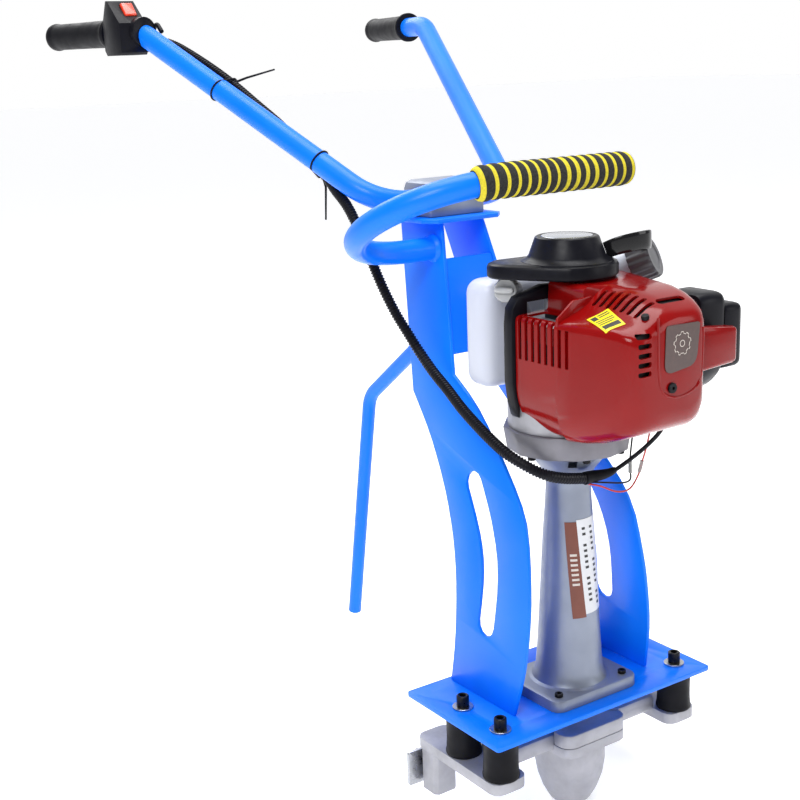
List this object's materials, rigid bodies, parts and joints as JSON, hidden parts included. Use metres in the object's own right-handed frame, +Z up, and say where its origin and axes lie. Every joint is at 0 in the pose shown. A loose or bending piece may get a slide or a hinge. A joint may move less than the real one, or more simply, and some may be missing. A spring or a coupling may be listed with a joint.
{
  "type": "concrete screed power unit",
  "caption": "Hand-guided vibrating screed power unit: upright four-stroke engine on a cast column with drive shaft, eccentric exciter, blade clamps, handlebar, carry loop and prop stand.",
  "frame": {"origin": "centre of the exciter's flat foot, on the drive shaft's axis", "axes": "+Z up along the drive shaft; +X along the base plate's long edge, the side of the fuel cap and air cleaner; +Y to the operator; -Y the engine's cylinder side"},
  "size_m": [0.5114, 0.8438, 0.867],
  "materials": {
    "blue": "gloss powder coat",
    "silver": "satin silver paint over casting",
    "cast": "as-cast, bead blasted",
    "dark_cast": "dark grey casting",
    "steel": "turned, bright",
    "black_steel": "black oxide",
    "rubber": "matte",
    "foam": "matte foam",
    "red": "moulded, gloss",
    "black_plastic": "moulded, satin",
    "grey_plastic": "moulded, satin",
    "light_plastic": "moulded, satin",
    "tank": "translucent natural",
    "orange": "moulded"
  },
  "bodies": {
    "exciter": {"exciter_casting": "cast", "exciter_cover": "cast", "exciter_bearing": "steel", "isolator_front_left": "rubber", "isolator_rear_left": "rubber", "isolator_front_right": "rubber", "isolator_rear_right": "rubber"},
    "eccentric": {"eccentric_shaft": "steel"},
    "drive": {"drive_shaft": "steel", "clutch_drum": "steel"},
    "crank": {"crankshaft": "steel", "flywheel": "cast", "clutch_shoes": "black_steel"},
    "jaw_left": {"clamp_jaw_left": "steel"},
    "jaw_right": {"clamp_jaw_right": "steel"},
    "screw_left": {"clamp_screw_left": "black_steel"},
    "screw_right": {"clamp_screw_right": "black_steel"},
    "handlebar": {"handlebar": "blue", "grip_left": "rubber", "grip_right": "rubber", "switch_housing": "black_plastic"},
    "throttle_lever": {"throttle_lever": "black_plastic"},
    "stop_switch": {"stop_switch": "orange"},
    "throttle_arm": {"throttle_arm": "steel"},
    "kickstand": {"kickstand": "blue"},
    "starter_handle": {"starter_handle": "black_plastic"},
    "fuel_cap": {"fuel_cap": "grey_plastic"},
    "oil_cap": {"oil_cap": "light_plastic"},
    "air_cleaner_cover": {"air_cleaner_cover": "black_plastic"},
    "frame": {"crankcase": "cast", "cylinder": "cast", "carburettor": "cast", "shaft_bearing": "steel", "muffler": "black_steel", "isolator_bolt_front_left": "black_steel", "isolator_bolt_rear_left": "black_steel", "isolator_bolt_front_right": "black_steel", "isolator_bolt_rear_right": "black_steel", "base_plate": "blue", "web_left": "blue", "web_right": "blue", "front_cross_plate": "blue", "top_plate": "blue", "loop_handle": "blue", "stand_pivot_bar": "blue", "foam_grip": "foam", "column": "silver", "clamp_base": "silver", "clamp_cap": "silver", "clutch_housing": "dark_cast", "engine_cover": "red", "wire_red": "red", "shroud_plate": "black_plastic", "recoil_housing": "black_plastic", "air_cleaner_case": "black_plastic", "conduit": "black_plastic", "throttle_cable": "black_plastic", "wire_black": "black_plastic", "fuel_tank": "tank"}
  },
  "joints": [
    {"name": "isolator_float", "type": "slide", "parent": "exciter", "child": "frame", "axis": [0, 0, 1], "range_m": [-0.003, 0.003], "stiffness_N_per_m": 120000, "springref_m": 0.0011, "deforming": ["isolator_front_left", "isolator_rear_left", "isolator_front_right", "isolator_rear_right"]},
    {"name": "eccentric_spin", "type": "hinge", "parent": "exciter", "child": "eccentric", "pos_m": [0, 0, 0.056], "axis": [0, 0, 1], "continuous": true},
    {"name": "drive_spin", "type": "hinge", "parent": "frame", "child": "drive", "pos_m": [0, 0, 0.236], "axis": [0, 0, 1], "continuous": true},
    {"name": "crank_spin", "type": "hinge", "parent": "frame", "child": "crank", "pos_m": [0, 0, 0.481], "axis": [0, 0, 1], "continuous": true},
    {"name": "clamp_slide_left", "type": "slide", "parent": "exciter", "child": "jaw_left", "axis": [0, 1, 0], "range_m": [-0.003, 0.01]},
    {"name": "clamp_turn_left", "type": "hinge", "parent": "jaw_left", "child": "screw_left", "pos_m": [-0.1215, 0.0946, 0.044], "axis": [0, 1, 0], "range_deg": [-870, 2890]},
    {"name": "clamp_slide_right", "type": "slide", "parent": "exciter", "child": "jaw_right", "axis": [0, 1, 0], "range_m": [-0.003, 0.01]},
    {"name": "clamp_turn_right", "type": "hinge", "parent": "jaw_right", "child": "screw_right", "pos_m": [0.1215, 0.0946, 0.044], "axis": [0, 1, 0], "range_deg": [-870, 2890]},
    {"name": "handlebar_tilt", "type": "hinge", "parent": "frame", "child": "handlebar", "pos_m": [0, 0.2, 0.64], "axis": [1, 0, 0], "range_deg": [-12, 12], "deforming": ["conduit"]},
    {"name": "throttle_lever_turn", "type": "hinge", "parent": "handlebar", "child": "throttle_lever", "pos_m": [-0.187, 0.528, 0.83], "axis": [-1, 0, 0], "range_deg": [0, 25], "stiffness_Nm_per_rad": 0.05, "springref_deg": -17.19},
    {"name": "throttle_arm_turn", "type": "hinge", "parent": "frame", "child": "throttle_arm", "pos_m": [0.0495, -0.076, 0.468], "axis": [0, 0, 1], "range_deg": [0, 30]},
    {"name": "stop_switch_rock", "type": "hinge", "parent": "handlebar", "child": "stop_switch", "pos_m": [-0.212, 0.5275, 0.8557], "axis": [1, 0, 0], "range_deg": [-12, 0]},
    {"name": "kickstand_fold", "type": "hinge", "parent": "frame", "child": "kickstand", "pos_m": [0, 0.203, 0.508], "axis": [1, 0, 0], "range_deg": [0, 75]},
    {"name": "starter_pull", "type": "slide", "parent": "frame", "child": "starter_handle", "axis": [0, 0, 1], "range_m": [0, 0.5], "stiffness_N_per_m": 12, "springref_m": -0.4},
    {"name": "fuel_cap_turn", "type": "hinge", "parent": "frame", "child": "fuel_cap", "pos_m": [0.095, -0.01, 0.582], "axis": [0.4917, -0.7828, 0.3814], "range_deg": [0, 360]},
    {"name": "oil_cap_turn", "type": "hinge", "parent": "frame", "child": "oil_cap", "pos_m": [-0.052, 0.031, 0.564], "axis": [-0.8332, -0.5321, 0.1506], "range_deg": [0, 720]},
    {"name": "air_cleaner_open", "type": "hinge", "parent": "frame", "child": "air_cleaner_cover", "pos_m": [0.119, -0.073, 0.478], "axis": [0, 1, 0], "range_deg": [0, 70]}
  ],
  "couplings": [
    {"joint": "eccentric_spin", "follows": "drive_spin", "ratio": 1},
    {"joint": "clamp_turn_left", "follows": "clamp_slide_left", "rad_per_m": 5026.5},
    {"joint": "clamp_turn_right", "follows": "clamp_slide_right", "rad_per_m": 5026.5},
    {"joint": "throttle_arm_turn", "follows": "throttle_lever_turn", "ratio": 1.2}
  ]
}
